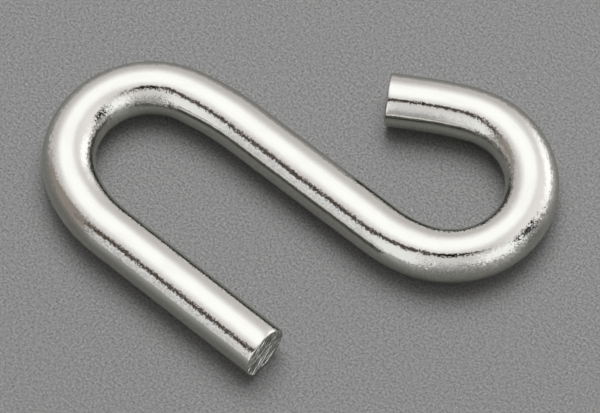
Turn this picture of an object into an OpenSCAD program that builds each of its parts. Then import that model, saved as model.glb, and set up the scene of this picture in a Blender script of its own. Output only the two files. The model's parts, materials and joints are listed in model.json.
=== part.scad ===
// S hook: one length of round steel bar, bent cold into two hooks that open opposite ways.
// It lies flat on z = 0. The shank between the hooks runs along X, and the origin is under
// the middle of the hook's own box. The long hook is at -X and the short hook is at +X.

/* [Bar] */
// Diameter of the round bar
bar_d = 8; // [5:0.5:10]
// How much thinner the bar is round the crowns, where bending draws it down
crown_thinning = 0.1; // [0.05:0.01:0.3]
// Bevel round the rim of each cut end
end_bevel = 0.3; // [0.1:0.05:1]
// Straight shank between the two hooks
shank_len = 26; // [10:0.5:60]

/* [Long hook] */
// Inside diameter of the crown, which is the pin that the bar is bent round
long_seat_d = 16; // [12:0.5:30]
// Angle that the bar turns through from the shank to the leg
long_turn_angle = 179.5; // [160:0.5:190]
// Centreline radius of the slack curve between the shank and the crown
long_shoulder_r = 44; // [20:1:80]
// Angle of that curve
long_shoulder_angle = 13; // [4:0.5:20]
// Centreline radius of the slack curve between the crown and the leg
long_throat_r = 19; // [16:0.5:40]
// Angle of that curve
long_throat_angle = 28; // [4:0.5:40]
// Straight leg, up to its cut end
long_leg = 30; // [5:0.5:45]

/* [Short hook] */
// Inside diameter of the crown
short_seat_d = 16; // [14:0.5:30]
// Angle that the bar turns through from the shank to the tip, which closes in on the shank past 180
short_turn_angle = 211; // [180:0.5:220]
// Centreline radius of the slack curve between the shank and the crown
short_shoulder_r = 19; // [16:0.5:40]
// Angle of that curve
short_shoulder_angle = 21; // [4:0.5:40]
// Centreline radius of the slack curve between the crown and the tip
short_throat_r = 44; // [20:1:80]
// Angle of that curve
short_throat_angle = 9; // [4:0.5:20]
// Straight tip, up to its cut end
short_tip = 6; // [2:0.5:10]

/* [Hidden] */

$fn = 64;
bar_r = bar_d / 2;
slack_bar_r = bar_r - crown_thinning / 4;
crown_bar_r = bar_r - crown_thinning / 2;

// How far a thicker piece of bar runs on over the thinner one that follows it
lap = 0.2;

// A bend is [centreline radius, angle, bar radius, how far it runs on at its start, and at its end].
// Each hook is three bends to the left, listed outwards from the shank. The crown takes the angle
// that the two slack curves leave of the whole turn.
function hook_bends(seat_d, turn_angle, shoulder_r, shoulder_angle, throat_r, throat_angle) = [
    [shoulder_r, shoulder_angle, slack_bar_r, 0, lap],
    [seat_d / 2 + crown_bar_r, turn_angle - shoulder_angle - throat_angle, crown_bar_r, 0, 0],
    [throat_r, throat_angle, slack_bar_r, lap, 0]
];

long_bends = hook_bends(long_seat_d, long_turn_angle, long_shoulder_r, long_shoulder_angle,
                        long_throat_r, long_throat_angle);
short_bends = hook_bends(short_seat_d, short_turn_angle, short_shoulder_r, short_shoulder_angle,
                         short_throat_r, short_throat_angle);

// A place on the centreline is [x, y, heading]. Each hook starts at its end of the shank.
shank_end = [shank_len / 2, 0, 0];

function after_run(place, run) =
    [place[0] + run * cos(place[2]), place[1] + run * sin(place[2]), place[2]];

function centre_of(bend, place) =
    [place[0] - bend[0] * sin(place[2]), place[1] + bend[0] * cos(place[2])];

function after_bend(bend, place) =
    let (centre = centre_of(bend, place), heading = place[2] + bend[1])
    [centre[0] + bend[0] * sin(heading), centre[1] - bend[0] * cos(heading), heading];

// The places where each bend starts, and then where the last one ends
function places(bends, done = 0, place = shank_end) =
    done == len(bends)
        ? [place]
        : concat([place], places(bends, done + 1, after_bend(bends[done], place)));

// How far the bar's surface reaches in a direction: where the bar ends or passes, and over a bend
function along(point, direction) = point[0] * cos(direction) + point[1] * sin(direction);

function reach_at(place, direction) =
    along(place, direction) + bar_r * abs(sin(place[2] - direction));

function reach_over(bend, place, direction) =
    let (square_on = direction + 90, passes = place[2] <= square_on && square_on <= place[2] + bend[1])
    passes
        ? along(centre_of(bend, place), direction) + bend[0] + bend[2]
        : reach_at(place, direction);

function reach(bends, straight, direction) =
    let (at = places(bends), last = len(bends))
    max([for (i = [0 : last - 1]) reach_over(bends[i], at[i], direction),
         reach_at(at[last], direction),
         reach_at(after_run(at[last], straight), direction)]);

// The long hook is drawn as the short one is and turned half round, so its reach counts the other way.
box_centre = [for (direction = [0, 90])
    (reach(short_bends, short_tip, direction) - reach(long_bends, long_leg, direction)) / 2];

module put(place) {
    translate([place[0], place[1], 0])
        rotate([0, 0, place[2]])
            children();
}

// A straight piece of bar along +X
module straight_bar(from, to) {
    translate([from, 0, 0])
        rotate([0, 90, 0])
            cylinder(r = bar_r, h = to - from);
}

// A piece of bar that starts along +X and turns to the left
module bent_bar(bend) {
    run_on_angles = [bend[3], bend[4]] / bend[0] * 180 / PI;
    translate([0, bend[0], 0])
        rotate([0, 0, -90 - run_on_angles[0]])
            rotate_extrude(angle = run_on_angles[0] + bend[1] + run_on_angles[1])
                translate([bend[0], 0])
                    circle(r = bend[2]);
}

// The last straight piece, cut off square, with its rim bevelled
module cut_end(straight) {
    straight_bar(-lap, straight - end_bevel);
    translate([straight - end_bevel, 0, 0])
        rotate([0, 90, 0])
            cylinder(r1 = bar_r, r2 = bar_r - end_bevel, h = end_bevel);
}

// One hook, outwards from its end of the shank
module hook_half(bends, straight) {
    at = places(bends);
    last = len(bends);
    for (i = [0 : last - 1])
        put(at[i]) bent_bar(bends[i]);
    put(at[last]) cut_end(straight);
}

module hook() {
    color([0.80, 0.79, 0.77])
        translate([-box_centre[0], -box_centre[1], bar_r])
            union() {
                straight_bar(-shank_len / 2 - lap, shank_len / 2 + lap);
                hook_half(short_bends, short_tip);
                rotate([0, 0, 180]) hook_half(long_bends, long_leg);
            }
}

hook();
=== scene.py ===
import json
import math

import bpy
import numpy as np
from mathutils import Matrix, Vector, noise


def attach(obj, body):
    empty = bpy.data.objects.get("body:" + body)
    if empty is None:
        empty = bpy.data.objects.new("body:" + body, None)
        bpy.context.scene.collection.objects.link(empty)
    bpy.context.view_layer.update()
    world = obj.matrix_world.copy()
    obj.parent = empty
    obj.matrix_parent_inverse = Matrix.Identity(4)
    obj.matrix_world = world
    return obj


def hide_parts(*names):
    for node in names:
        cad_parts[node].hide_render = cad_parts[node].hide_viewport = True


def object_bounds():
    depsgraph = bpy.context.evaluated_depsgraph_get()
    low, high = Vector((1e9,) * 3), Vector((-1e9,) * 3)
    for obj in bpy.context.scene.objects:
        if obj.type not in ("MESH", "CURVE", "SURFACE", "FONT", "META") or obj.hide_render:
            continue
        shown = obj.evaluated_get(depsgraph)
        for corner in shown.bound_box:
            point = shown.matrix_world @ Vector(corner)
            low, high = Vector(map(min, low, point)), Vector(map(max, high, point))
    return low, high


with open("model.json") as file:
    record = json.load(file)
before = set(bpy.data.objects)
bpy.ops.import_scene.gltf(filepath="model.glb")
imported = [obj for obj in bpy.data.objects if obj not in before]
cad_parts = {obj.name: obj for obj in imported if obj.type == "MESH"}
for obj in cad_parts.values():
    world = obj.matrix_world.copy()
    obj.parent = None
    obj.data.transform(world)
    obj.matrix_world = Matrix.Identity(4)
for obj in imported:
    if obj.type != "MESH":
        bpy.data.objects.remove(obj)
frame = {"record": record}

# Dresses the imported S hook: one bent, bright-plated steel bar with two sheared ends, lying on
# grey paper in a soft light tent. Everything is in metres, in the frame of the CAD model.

MM = 0.001
UP = np.array([0, 0, 1.0])
cad_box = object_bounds()
mounts = {mount["name"]: mount["dims"] for mount in frame["record"]["mounts"]}

# ---------------------------------------------------------------- the bar and its bends
BAR_R = mounts["long_leg"]["r_mm"] * MM
SEAT_R = mounts["long_hook"]["r_mm"] * MM
CROWN_THINNING = 0.05 * MM       # taken off the bar's radius round a crown
CROWN_R = SEAT_R + BAR_R - CROWN_THINNING
SHANK = 26 * MM                  # straight bar between the hooks

# A hook, outwards from the shank: (centreline radius, degrees) of its bends, then its straight end
LONG_BENDS = [(44 * MM, 13), (CROWN_R, 138.5), (19 * MM, 28)]
LONG_LEG = 30 * MM
SHORT_BENDS = [(19 * MM, 21), (CROWN_R, 181), (44 * MM, 9)]
SHORT_TIP = 6 * MM
BEND_EASE = 1.0 * MM             # how gradually one bend runs into the next

# ---------------------------------------------------------------- the mesh
LINE_STEP = 0.02 * MM            # step of the worked-out centreline
STATION = 0.225 * MM             # step along the bar
ROUND = 112                      # points round the bar
RIM_STEPS = 4                    # rings round the edge of a cut face
FACE_RINGS = 34                  # rings over a cut face

# ---------------------------------------------------------------- the surface
# Heights in metres, and the cells of their noise in mm: along the bar, across it and up
DENT, DENT_CELL = 12e-6, (5.0, 2.6, 2.6)         # slow unevenness of the drawn bar
DRAWN, DRAWN_CELL = 4e-6, (3.0, 0.7, 0.7)        # ridges along the bar
PEEL, PEEL_CELL = 50e-6, 1.0                     # orange peel, where it is bent to a strain of 1
FINE_PEEL, FINE_PEEL_CELL = 0.6, 0.55            # finer peel, as a share of the other's height
SEED_APART = 17.3                # cells between the noise of one seed and the next

# ---------------------------------------------------------------- the sheared ends
# Angles round the bar start at its left, as it runs from the long leg's end to the short tip,
# and go over its top.
RIM_R = 0.2 * MM                 # rounding of the edge of a cut face
TORN_FROM = 0.6 * RIM_R          # how far in from the bar's side the torn steel starts
RIDGE = 0.28 * MM                # shear marks: their height
RIDGE_FADE = 2 * RIM_R           # how far in from the bar's side they are at full height
SHEAR_SLOPE = 144                # and their slope across the face, in degrees
# The marks' noise, with its cells in mm: along a mark, across it and out of the face
MARK_CELL = (2.9, 0.31, 1.0)
BROAD_MARK, BROAD_MARK_CELL = 0.5, (3.0, 1.2, 1.0)     # as a share of the others' height
# Lips and hollows of the edge: (angle, half width, mm out past the cut, mm back that it fades in)
LONG_LIPS = [(-25, 26, 0.25, 1.5), (-45, 16, 0.35, 0.4), (105, 34, -0.10, 0.8)]
SHORT_LIPS = [(150, 30, 0.20, 1.5), (-40, 18, 0.22, 0.5)]
LIP_WIDTH = 0.6 * MM             # how far in over the face they fade
# Where the blade pressed the bar's side in: (angle, half width, mm in, mm back that it fades in)
LONG_PRESSED = (118, 42, 0.22, 1.0)
SHORT_PRESSED = (60, 40, 0.15, 1.0)

# ---------------------------------------------------------------- camera
CAMERA_AZIMUTH, CAMERA_ELEVATION = 40.49, 61.70   # degrees
CAMERA_DISTANCE = 0.880                           # metres
CAMERA_LENS, SENSOR = 363.9, 36.0                 # mm
AIM = Vector((3.745, -3.810, 0.0)) * MM           # from the middle of the hook's box


def from_camera(side, lift):
    """Unit vector towards a place in the studio: degrees round from the camera's side, over the
    camera's right, and degrees above the floor."""
    turn, lift = math.radians(CAMERA_AZIMUTH + side), math.radians(lift)
    level = math.cos(lift)
    return Vector((math.sin(turn) * level, -math.cos(turn) * level, math.sin(lift)))


def link(thing):
    bpy.context.scene.collection.objects.link(thing)
    return thing


def add_camera(middle):
    data = bpy.data.cameras.new("camera")
    data.lens, data.sensor_width = CAMERA_LENS, SENSOR
    data.clip_start, data.clip_end = 0.05, 20
    camera = link(bpy.data.objects.new("camera", data))
    back = from_camera(0, CAMERA_ELEVATION)
    camera.location = middle + AIM + back * CAMERA_DISTANCE
    camera.rotation_euler = back.to_track_quat("Z", "Y").to_euler()
    bpy.context.scene.camera = camera


# ---------------------------------------------------------------- the bar's centreline
def half_bar(bends, straight):
    """Half of the bar, outwards from the shank's middle: (length, curvature, 1 on the crown)."""
    pieces = [(SHANK / 2, 0.0, 0.0)]
    for radius, degrees in bends:
        pieces.append((radius * math.radians(degrees), 1 / radius, float(radius == CROWN_R)))
    return pieces + [(straight, 0.0, 0.0)]


def eased(values):
    """Values along the centreline, with each jump spread over about BEND_EASE either way."""
    reach = int(round(2 * BEND_EASE / LINE_STEP))
    kernel = np.hanning(2 * reach + 1)
    return np.convolve(np.pad(values, reach, mode="edge"), kernel / kernel.sum(), mode="valid")


class Centreline:
    """The bar's middle, from the long leg's end to the short tip's. The shank's middle is the
    origin, heading along X; curvature to the left is positive."""

    def __init__(self):
        long_half = [(length, -bend, crown) for length, bend, crown in half_bar(LONG_BENDS, LONG_LEG)]
        pieces = long_half[::-1] + half_bar(SHORT_BENDS, SHORT_TIP)
        ends = np.cumsum([0] + [length for length, _, _ in pieces])
        self.s = np.arange(0, ends[-1] + LINE_STEP / 2, LINE_STEP)
        self.length = self.s[-1]
        piece = np.clip(np.searchsorted(ends, self.s, side="right") - 1, 0, len(pieces) - 1)
        self.curvature = eased(np.array([bend for _, bend, _ in pieces])[piece])
        self.crown = eased(np.array([crown for _, _, crown in pieces])[piece])

        def summed(values):
            """Their sum along the bar, from 0 at the shank's middle."""
            total = np.concatenate([[0], np.cumsum((values[1:] + values[:-1]) / 2 * LINE_STEP)])
            return total - np.interp(ends[len(long_half)], self.s, total)

        self.heading = summed(self.curvature)
        self.x = summed(np.cos(self.heading))
        self.y = summed(np.sin(self.heading))

    def at(self, s, name):
        return np.interp(s, self.s, getattr(self, name))


# ---------------------------------------------------------------- the bar's surface
def noise_at(mm, cell, seed):
    """Noise of about -0.5 to 0.5 at places in mm, with cells of this size in mm."""
    places = (mm / cell + seed * SEED_APART).reshape(-1, 3).tolist()
    return np.array([noise.noise(place) for place in places]).reshape(mm.shape[:-1])


def relief(on_bar, strain):
    """Height of the bar's surface, at places on the bar as it was before bending."""
    mm = on_bar / MM
    dents = noise_at(mm, DENT_CELL, 1)
    drawn = noise_at(mm, DRAWN_CELL, 2)
    peel = noise_at(mm, PEEL_CELL, 3) + FINE_PEEL * noise_at(mm, FINE_PEEL_CELL, 4)
    return DENT * dents + DRAWN * drawn + PEEL * strain * peel


def round_hump(angle, middle, half_width):
    """1 at one angle round the bar, down to 0 at half_width from it, in degrees."""
    off = np.abs((np.degrees(angle) - middle + 180) % 360 - 180) / half_width
    return 0.5 + 0.5 * np.cos(np.pi * np.minimum(off, 1))


def edge_mark(angle, behind, shape):
    """Size of one lip, or of one place pressed in, at a distance behind the cut."""
    middle, half_width, size, fade = shape
    return size * MM * round_hump(angle, middle, half_width) * np.exp(-2 * behind / (fade * MM))


def lips(angle, behind, shapes):
    """How far the edge of a cut sticks out along the bar."""
    return sum(edge_mark(angle, behind, shape) for shape in shapes)


def shear_marks(across, up, seed):
    """Height of the ridges that the blade dragged over a cut face."""
    slope = math.radians(SHEAR_SLOPE)
    along = across * math.cos(slope) + up * math.sin(slope)
    aside = up * math.cos(slope) - across * math.sin(slope)
    mm = np.stack([along, aside, 0 * along + seed * MM], -1) / MM
    fine = noise_at(mm, MARK_CELL, 5)
    broad = noise_at(mm, BROAD_MARK_CELL, 6)
    return RIDGE * (fine + BROAD_MARK * broad)


def sheared(line, s, angle, reach, inside):
    """What the shears did to the ends: how far each point is pressed in and pushed along the bar.
    The third value is 1 over a cut face and 0 along the bar."""
    across, up = reach * np.cos(angle), reach * np.sin(angle)
    at_start = s < line.length / 2
    behind = np.where(at_start, s, line.length - s)
    long_press = edge_mark(angle, behind, LONG_PRESSED)
    short_press = edge_mark(angle, behind, SHORT_PRESSED)
    press = np.where(at_start, long_press, short_press) * reach / BAR_R

    near_edge = np.exp(-inside / LIP_WIDTH)
    on_face = np.clip(inside / RIDGE_FADE, 0, 1)
    start_push = lips(angle, behind, LONG_LIPS) * near_edge + shear_marks(across, up, 1) * on_face
    finish_push = lips(angle, behind, SHORT_LIPS) * near_edge + shear_marks(across, up, 2) * on_face
    return press, np.where(at_start, -start_push, finish_push), on_face


def skin_rows(line):
    """The rows of points of the bar's skin, from the middle of one cut face to the middle of the
    other: for each, where it is along the bar and its distance from the centreline."""
    turn = np.linspace(0, np.pi / 2, RIM_STEPS + 1)[1:]
    rings = np.linspace(1, 0, FACE_RINGS + 2)[1:-1]
    face_reach = np.concatenate([BAR_R - RIM_R + RIM_R * np.cos(turn), (BAR_R - RIM_R) * rings])
    face_behind = np.concatenate([RIM_R * (1 - np.sin(turn)), 0 * rings])
    count = int((line.length - 2 * RIM_R) / STATION)
    body = np.linspace(RIM_R, line.length - RIM_R, count)
    s = np.concatenate([face_behind[::-1], body, line.length - face_behind])
    thinned = BAR_R - CROWN_THINNING * line.at(body, "crown")
    reach = np.concatenate([face_reach[::-1], thinned, face_reach])
    return s[:, None], reach[:, None]


def skin(line):
    """The skin's points, from the shank's middle, by row and by angle round the bar. With them go
    their places on the bar as it was before bending, the strain there, and how far in from the
    bar's side each row lies, which is 0 along the bar."""
    s, reach = skin_rows(line)
    angle = np.linspace(0, 2 * np.pi, ROUND, endpoint=False)[None, :]
    heading = line.at(s, "heading")
    zero = 0 * heading
    ahead = np.stack([np.cos(heading), np.sin(heading), zero], -1)
    left = np.stack([-np.sin(heading), np.cos(heading), zero], -1)
    centre = np.stack([line.at(s, "x"), line.at(s, "y"), zero], -1)
    out = np.cos(angle)[..., None] * left + np.sin(angle)[..., None] * UP

    across, up = reach * np.cos(angle), reach * np.sin(angle)
    on_bar = np.stack([s + 0 * angle, across, up], -1)
    strain = np.abs(line.at(s, "curvature") * across)
    inside = np.clip(BAR_R - CROWN_THINNING - reach, 0, None)
    press, push, on_face = sheared(line, s, angle, reach, inside)
    height = relief(on_bar, strain) * (1 - on_face) - press
    points = centre + (reach + height)[..., None] * out + push[..., None] * ahead
    return points, on_bar, strain, inside[:, 0]


def skin_faces(rows):
    """Quads between the rows of points, and a fan in the middle of each cut face, round a point
    that comes after all the rows."""
    corner = np.arange(rows * ROUND).reshape(rows, ROUND)
    beside = np.roll(corner, -1, axis=1)
    quads = np.stack([corner[:-1], beside[:-1], beside[1:], corner[1:]], -1).reshape(-1, 4)
    hub = 0 * corner[0] + rows * ROUND
    start_fan = np.stack([beside[0], corner[0], hub], -1)
    finish_fan = np.stack([corner[-1], beside[-1], hub + 1], -1)
    return quads.tolist() + start_fan.tolist() + finish_fan.tolist()


def bar_mesh(middle, floor):
    """The bar's mesh: round the middle of the hook's box, and lying on the floor."""
    line = Centreline()
    points, on_bar, strain, inside = skin(line)
    low, high = points.reshape(-1, 3).min(0), points.reshape(-1, 3).max(0)
    shift = np.array([middle.x, middle.y, 0]) - (low + high) / 2
    shift[2] = floor + BAR_R
    hubs = points[[0, -1]].mean(1)
    verts = np.concatenate([points.reshape(-1, 3), hubs]) + shift
    mesh = bpy.data.meshes.new("plated_bar")
    mesh.from_pydata(verts.tolist(), [], skin_faces(len(points)))

    torn_row = inside > TORN_FROM
    torn = np.repeat(torn_row[:-1] & torn_row[1:], ROUND)
    material = np.concatenate([torn, np.ones(2 * ROUND, bool)]).astype(np.int32)
    mesh.polygons.foreach_set("material_index", material)
    mesh.polygons.foreach_set("use_smooth", np.ones(len(mesh.polygons), bool))

    place = np.concatenate([on_bar.reshape(-1, 3), [[0, 0, 0], [line.length, 0, 0]]]) / MM
    strains = np.concatenate([strain.reshape(-1), [0, 0]])
    on_bar_data = mesh.attributes.new("on_bar", "FLOAT_VECTOR", "POINT").data
    on_bar_data.foreach_set("vector", place.reshape(-1))
    strain_data = mesh.attributes.new("strain", "FLOAT", "POINT").data
    strain_data.foreach_set("value", strains)
    mesh.update()
    return mesh


# ---------------------------------------------------------------- nodes
class Nodes:
    """Short names for the nodes of one tree. Values are sockets or plain numbers."""

    def __init__(self, tree):
        self.tree = tree

    def add(self, kind, **settings):
        node = self.tree.nodes.new("ShaderNode" + kind)
        for name, value in settings.items():
            setattr(node, name, value)
        return node

    def put(self, value, socket):
        if isinstance(value, bpy.types.NodeSocket):
            self.tree.links.new(value, socket)
        else:
            socket.default_value = value

    def maths(self, operation, *values):
        node = self.add("Math", operation=operation)
        for value, socket in zip(values, node.inputs):
            self.put(value, socket)
        return node.outputs[0]

    def vectors(self, operation, *values):
        node = self.add("VectorMath", operation=operation)
        for value, socket in zip(values, node.inputs):
            self.put(value, socket)
        return node.outputs["Value" if operation == "DOT_PRODUCT" else "Vector"]

    def dot(self, vector, constant):
        return self.vectors("DOT_PRODUCT", vector, tuple(constant))

    def between(self, value, start, end, low=0.0, high=1.0, smooth=True):
        """Low up to start, high from end on."""
        node = self.add("MapRange", interpolation_type="SMOOTHSTEP" if smooth else "LINEAR")
        names = ("Value", "From Min", "From Max", "To Min", "To Max")
        for name, number in zip(names, (value, start, end, low, high)):
            self.put(number, node.inputs[name])
        return node.outputs[0]

    def span(self, value, start, full, last, end):
        """1 from full to last, 0 up to start and from end on."""
        rise = self.between(value, start, full)
        return self.maths("MULTIPLY", rise, self.between(value, last, end, 1.0, 0.0))

    def mix(self, factor, first, second, blend="MIX"):
        node = self.add("Mix", data_type="RGBA", blend_type=blend)
        factors = [socket for socket in node.inputs if socket.type == "VALUE"]
        colours = [socket for socket in node.inputs if socket.type == "RGBA"]
        self.put(factor, factors[0])
        self.put(first, colours[0])
        self.put(second, colours[1])
        return next(socket for socket in node.outputs if socket.type == "RGBA")

    def ramp(self, value, stops):
        """A colour by value, from (value, colour) stops."""
        node = self.add("ValToRGB")
        elements = node.color_ramp.elements
        while len(elements) < len(stops):
            elements.new(0.5)
        for element, (position, colour) in zip(elements, stops):
            element.position = position
            element.color = (*colour, 1)
        self.put(value, node.inputs[0])
        return node.outputs[0]

    def noise(self, vector, size, detail=2.0, rough=0.5):
        """Noise from 0 to 1, with cells of this size."""
        node = self.add("TexNoise")
        values = (("Vector", vector), ("Scale", 1 / size), ("Detail", detail), ("Roughness", rough))
        for name, value in values:
            self.put(value, node.inputs[name])
        return node.outputs[0]

    def facets(self, vector, size, tilt):
        """The normal, tilted another way on each little facet of the surface."""
        cells = self.add("TexVoronoi")
        self.put(vector, cells.inputs["Vector"])
        self.put(1 / size, cells.inputs["Scale"])
        random = self.vectors("SUBTRACT", cells.outputs["Color"], (0.5, 0.5, 0.5))
        normal = self.add("NewGeometry").outputs["Normal"]
        return self.vectors("NORMALIZE", self.vectors("MULTIPLY_ADD", random, tilt, normal))

    def bump(self, height, distance):
        node = self.add("Bump")
        self.put(height, node.inputs["Height"])
        node.inputs["Distance"].default_value = distance
        return node.outputs[0]


def new_material(name, colour, roughness, metallic):
    """A material with these plain values on its shader, short names for its nodes, and the
    shader's inputs."""
    material = bpy.data.materials.new(name)
    material.use_nodes = True
    shader = material.node_tree.nodes["Principled BSDF"]
    shader.inputs["Base Color"].default_value = (*colour, 1)
    shader.inputs["Roughness"].default_value = roughness
    shader.inputs["Metallic"].default_value = metallic
    return material, Nodes(material.node_tree), shader.inputs


def grey(level, pink=0.0):
    return (level * (1 + pink), level, level)


# ---------------------------------------------------------------- materials
PLATE = (0.66, 0.66, 0.632)
PLATE_DULL = (0.635, 0.63, 0.598)
CLOUD = 2.2                      # clouds of the duller tint, in mm
CLOUD_STRETCH = (0.4, 1, 1)      # their places times this, which makes them longer along the bar
GLOSS_CELL = 0.5                 # mm
GLOSS = (0.02, 0.05)             # least and most roughness
BENT_GLOSS = 0.03                # and what bending adds
# Fine grain: the size of its facets in mm, and how much they tilt
FACET = 0.165
FLANK_TILT, UPPER_TILT = 0.03, 0.085
BENT_TILT = 0.22                 # what bending adds
TOP_TILT = 0.45                  # the share that is left along the bar's very top
# Strains, and heights over the bar's middle as shares of its radius, between which these change
DULLER_STRAIN = (0.05, 0.33)
GRAINY_STRAIN = (0.13, 0.33)
UPPER_PART = (0.5, 0.7)
VERY_TOP = (0.86, 0.95)
TORN = (0.36, 0.36, 0.345)
TORN_DARK, TORN_LIGHT = (0.27, 0.27, 0.265), (0.72, 0.72, 0.70)
TORN_MARK, TORN_STRETCH = 0.24, 7        # mm across a mark, and how many times longer it is
TORN_GLOSS = (0.28, 0.16)        # roughness of the dark steel and of the light
TORN_DEPTH = 0.32                # mm
PAPER = grey(0.195)
PAPER_DARK, PAPER_LIGHT, FLECK = 0.045, 0.35, 0.8
PAPER_GRAIN, PAPER_FLECK = 0.36 * MM, 0.3 * MM
FLECKED = (0.86, 0.92)           # of a noise from 0 to 1, so the flecks are few
# The paper's sheen as the camera sees it, and as the plate reflects it; and the painted shade in the
# plate:
# what the paper's colour is multiplied by where the plate reflects it, to darken the bars' flanks
SHEEN_ROUGHNESS = (0.5, 0.30)
SHEEN_IOR = (1.5, 1.38)
IN_PLATE_SHADE = (0.84, 0.85, 0.78)
FLOOR_SIZE = 4.0                 # metres


def plate():
    """Bright zinc over drawn bar. Patterns lie on the bar as it was before bending, in mm."""
    material, nodes, inputs = new_material("bright_plate", PLATE, 0.06, 1.0)
    on_bar = nodes.add("Attribute", attribute_name="on_bar").outputs["Vector"]
    strain = nodes.add("Attribute", attribute_name="strain").outputs["Fac"]
    cloud = nodes.noise(nodes.vectors("MULTIPLY", on_bar, CLOUD_STRETCH), CLOUD, 3)
    tint = nodes.mix(nodes.between(cloud, 0.45, 0.75), (*PLATE, 1), (*PLATE_DULL, 1))
    nodes.put(tint, inputs["Base Color"])
    gloss = nodes.between(nodes.noise(on_bar, GLOSS_CELL, 2), 0.3, 0.75, *GLOSS)
    bent_gloss = nodes.between(strain, *DULLER_STRAIN, 0.0, BENT_GLOSS)
    nodes.put(nodes.maths("ADD", gloss, bent_gloss), inputs["Roughness"])
    # Height over the bar's middle, as a share of its radius
    upward = nodes.dot(on_bar, (0, 0, MM / BAR_R))
    drawn = nodes.between(upward, *UPPER_PART, FLANK_TILT, UPPER_TILT)
    bent = nodes.between(strain, *GRAINY_STRAIN, 0.0, BENT_TILT, False)
    top = nodes.between(upward, *VERY_TOP, 1.0, TOP_TILT)
    tilt = nodes.maths("MULTIPLY", nodes.maths("ADD", drawn, bent), top)
    nodes.put(nodes.facets(on_bar, FACET, tilt), inputs["Normal"])
    return material


def cut_face():
    """The sheared ends: torn steel, thinly plated, with marks along the way the blade went."""
    material, nodes, inputs = new_material("sheared_face", TORN, 0.35, 1.0)
    on_bar = nodes.add("Attribute", attribute_name="on_bar").outputs["Vector"]
    slope = math.radians(SHEAR_SLOPE)
    along = nodes.dot(on_bar, (0, math.cos(slope), math.sin(slope)))
    aside = nodes.dot(on_bar, (0, -math.sin(slope), math.cos(slope)))
    place = nodes.add("CombineXYZ")
    nodes.put(nodes.maths("DIVIDE", along, TORN_STRETCH), place.inputs[0])
    nodes.put(aside, place.inputs[1])
    marks = nodes.noise(place.outputs[0], TORN_MARK, 1)
    nodes.put(nodes.ramp(marks, [(0.35, TORN_DARK), (0.6, TORN_LIGHT)]), inputs["Base Color"])
    nodes.put(nodes.between(marks, 0.3, 0.7, *TORN_GLOSS), inputs["Roughness"])
    nodes.put(nodes.bump(nodes.maths("MULTIPLY", marks, TORN_DEPTH), MM), inputs["Normal"])
    return material


def paper():
    """Grey paper with a sheen. Where the plate reflects it, its matte part is painted a little darker
    and more olive, a painted shade in the reflection, and its sheen is smoother and weaker."""
    material, nodes, inputs = new_material("paper", PAPER, SHEEN_ROUGHNESS[0], 0.0)
    inputs["Specular IOR Level"].default_value = 1.0
    place = nodes.add("TexCoord").outputs["Object"]
    grain = nodes.noise(place, PAPER_GRAIN, 3, 1.0)
    colour = nodes.ramp(grain, [(0.35, grey(PAPER_DARK)), (0.65, grey(PAPER_LIGHT))])
    flecks = nodes.between(nodes.noise(place, PAPER_FLECK, 0), *FLECKED)
    colour = nodes.mix(flecks, colour, (*grey(FLECK), 1))
    in_plate = nodes.add("LightPath").outputs["Is Glossy Ray"]
    # Painted shade: the paper's colour is drawn darker and more olive only in the plate's reflection
    # of it
    nodes.put(nodes.mix(in_plate, colour, (*IN_PLATE_SHADE, 1), "MULTIPLY"), inputs["Base Color"])
    nodes.put(nodes.between(in_plate, 0, 1, *SHEEN_ROUGHNESS, False), inputs["Roughness"])
    nodes.put(nodes.between(in_plate, 0, 1, *SHEEN_IOR, False), inputs["IOR"])
    return material


def add_floor(level):
    half = FLOOR_SIZE / 2
    mesh = bpy.data.meshes.new("floor")
    corners = [(-half, -half, level), (half, -half, level), (half, half, level), (-half, half, level)]
    mesh.from_pydata(corners, [], [(0, 1, 2, 3)])
    mesh.materials.append(paper())
    link(bpy.data.objects.new("floor", mesh))


# ---------------------------------------------------------------- light
# Places in the studio are a side and a lift, in degrees, as for from_camera.
KEY = (172.0, 68.0)              # where the key lamp is
KEY_DISTANCE, KEY_SIZE, KEY_POWER = 0.8, 0.62, 5.4     # metres, metres and watts
TENT_LEVEL = 1.21                # how bright the tent looks in the plate
TENT_SHARE = 0.30                # and how bright it is to matte things, which the key also lights
OVERHEAD = (202.0, 68.0)         # the middle of the overhead cloth
# How bright the cloth is, by the angle from there: (part of 90 degrees, colour)
FALL_OFF = [
    (0.0, grey(1.24)),
    (0.22, grey(1.19)),
    (0.32, grey(0.99, 0.01)),
    (0.39, grey(0.84, 0.03)),
    (0.46, grey(0.72, 0.04)),
    (0.52, grey(0.63, 0.05)),
    (0.62, grey(0.57, 0.055)),
    (1.0, grey(0.50, 0.06)),
]
# How bright the front wall is, by the lift: (part of 90 degrees, colour)
FRONT_WALL = [
    (0.08, grey(0.36, 0.03)),
    (0.15, grey(0.37, 0.03)),
    (0.23, grey(0.54, 0.02)),
    (0.30, grey(0.64, 0.02)),
    (0.42, grey(0.72, 0.02)),
]
# Cards and openings: (middle, half size, softness of the edge, colour)
RIGHT_WALL = ((98, 30), (48, 36), 0.5, grey(0.90, 0.04))
WINDOW = ((121, 16), (18, 12), 0.8, grey(1.36))
LEFT_REFLECTOR = ((-40, 18), (20, 29), 0.45, grey(0.94))
RIGHT_REFLECTOR = ((49, 26), (22, 20), 0.35, grey(1.10))
GAP = ((75, 27), (10, 14), 0.3, grey(0.02))            # dark, right of the right reflector
CAMERA_FRONT = ((1, 65), (16, 7), 0.3, grey(0.01))     # the camera itself, in the slot
# Level edges: the side that the edge faces, and how far out it starts and ends, along a ceiling
# at unit height
SLOT_NEAR = (2.3, 0.316, 0.356)          # the slot that the camera looks through
SLOT_FAR = (7.1, 0.537, 0.657)
FRONT_TOP = (7.1, 0.50, 0.60)            # where the front wall takes over from the cloth
CLOTH_LEFT = (-35.5, 0.625, 0.985)       # where the cloth ends at the left
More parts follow.
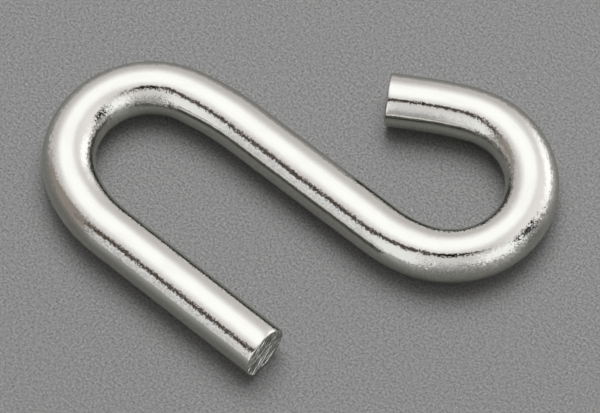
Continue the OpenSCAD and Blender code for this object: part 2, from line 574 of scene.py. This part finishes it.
# Sides between which these are seen: starting, in full, up to, and gone
SLOT_SIDES = (-80, -66, 28, 54)
OPENING_SIDES = (-122, -108, -70, -62)
FRONT_FROM = (-72, -62)                  # starting and in full, and on round to the right
SLOT = (0.088, 0.071, 0.059)             # what shows in the slot
OPENING = (0.31, 0.275, 0.25)            # and past the cloth's left end
LOWEST_UP = 0.03                         # a direction counts as rising at least this steeply


class Tent(Nodes):
    """The nodes of the tent, which know the direction that is looked in."""

    def __init__(self, tree):
        super().__init__(tree)
        self.direction = self.add("TexCoord").outputs["Generated"]
        right = self.dot(self.direction, from_camera(90, 0))
        front = self.dot(self.direction, from_camera(0, 0))
        self.up = self.dot(self.direction, (0, 0, 1))
        self.side = self.degrees("ARCTAN2", right, front)
        self.lift = self.degrees("ARCSINE", self.up)

    def degrees(self, operation, *values):
        return self.maths("MULTIPLY", self.maths(operation, *values), 180 / math.pi)

    def card(self, light, shape, blend="MIX"):
        """The light with a card in it, which has rounded corners."""
        middle, half, edge, colour = shape
        across = self.maths("DIVIDE", self.maths("SUBTRACT", self.side, middle[0]), half[0])
        upright = self.maths("DIVIDE", self.maths("SUBTRACT", self.lift, middle[1]), half[1])
        sizes = [self.maths("ABSOLUTE", value) for value in (across, upright)]
        cubes = [self.maths("POWER", size, 3.0) for size in sizes]
        off = self.maths("POWER", self.maths("ADD", *cubes), 1 / 3)
        on_card = self.between(off, 1 - edge, 1 + edge, 1.0, 0.0)
        return self.mix(on_card, light, (*colour, 1), blend)

    def past(self, edge, low=0.0, high=1.0):
        """Low before a level edge, high past it."""
        side, start, end = edge
        out = self.dot(self.direction, from_camera(side, 0))
        distance = self.maths("DIVIDE", out, self.maths("MAXIMUM", self.up, LOWEST_UP))
        return self.between(distance, start, end, low, high)


def cloth(tent):
    """The overhead cloth, the lit wall and window at its right, and the opening at its left."""
    away = tent.maths("ARCCOSINE", tent.dot(tent.direction, from_camera(*OVERHEAD)))
    light = tent.ramp(tent.maths("DIVIDE", away, math.pi / 2), FALL_OFF)
    light = tent.card(light, RIGHT_WALL, "LIGHTEN")
    light = tent.card(light, WINDOW, "LIGHTEN")
    in_opening = tent.maths("MULTIPLY", tent.past(CLOTH_LEFT), tent.span(tent.side, *OPENING_SIDES))
    return tent.mix(in_opening, light, (*OPENING, 1))


def front_wall(tent):
    """The wall on the camera's side, with its two reflectors."""
    light = tent.ramp(tent.maths("DIVIDE", tent.lift, 90), FRONT_WALL)
    return tent.card(tent.card(light, LEFT_REFLECTOR), RIGHT_REFLECTOR)


def light_tent():
    world = bpy.data.worlds.new("tent")
    bpy.context.scene.world = world
    world.use_nodes = True
    world.node_tree.nodes.clear()
    tent = Tent(world.node_tree)
    at_front = tent.maths("MULTIPLY", tent.past(FRONT_TOP), tent.between(tent.side, *FRONT_FROM))
    light = tent.card(tent.mix(at_front, cloth(tent), front_wall(tent)), GAP)
    in_slot = tent.maths("MULTIPLY", tent.past(SLOT_NEAR), tent.past(SLOT_FAR, 1.0, 0.0))
    in_slot = tent.maths("MULTIPLY", in_slot, tent.span(tent.side, *SLOT_SIDES))
    light = tent.card(tent.mix(in_slot, light, (*SLOT, 1)), CAMERA_FRONT)
    background = tent.add("Background")
    tent.put(light, background.inputs["Color"])
    # Matte things get only part of their light from the tent, and the rest from the key lamp
    to_matte = tent.add("LightPath").outputs["Is Diffuse Ray"]
    strength = tent.between(to_matte, 0, 1, TENT_LEVEL, TENT_SHARE, False)
    tent.put(strength, background.inputs["Strength"])
    output = tent.add("OutputWorld")
    tent.put(background.outputs[0], output.inputs["Surface"])


def add_key(middle):
    data = bpy.data.lights.new("key", "AREA")
    data.shape, data.size, data.energy = "DISK", KEY_SIZE, KEY_POWER
    key = link(bpy.data.objects.new("key", data))
    toward = from_camera(*KEY)
    key.location = middle + toward * KEY_DISTANCE
    key.rotation_euler = toward.to_track_quat("Z", "Y").to_euler()
    key.visible_glossy = key.visible_camera = False


# ---------------------------------------------------------------- put together
low, high = (Vector(corner) for corner in cad_box)
middle = (low + high) / 2
bar = link(bpy.data.objects.new("plated_bar", bar_mesh(middle, low.z)))
bar.data.materials.append(plate())
bar.data.materials.append(cut_face())
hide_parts("hook")
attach(bar, "root")
add_floor(low.z)
light_tent()
add_key(middle)
add_camera(middle)
bpy.context.scene.view_settings.view_transform = "Standard"
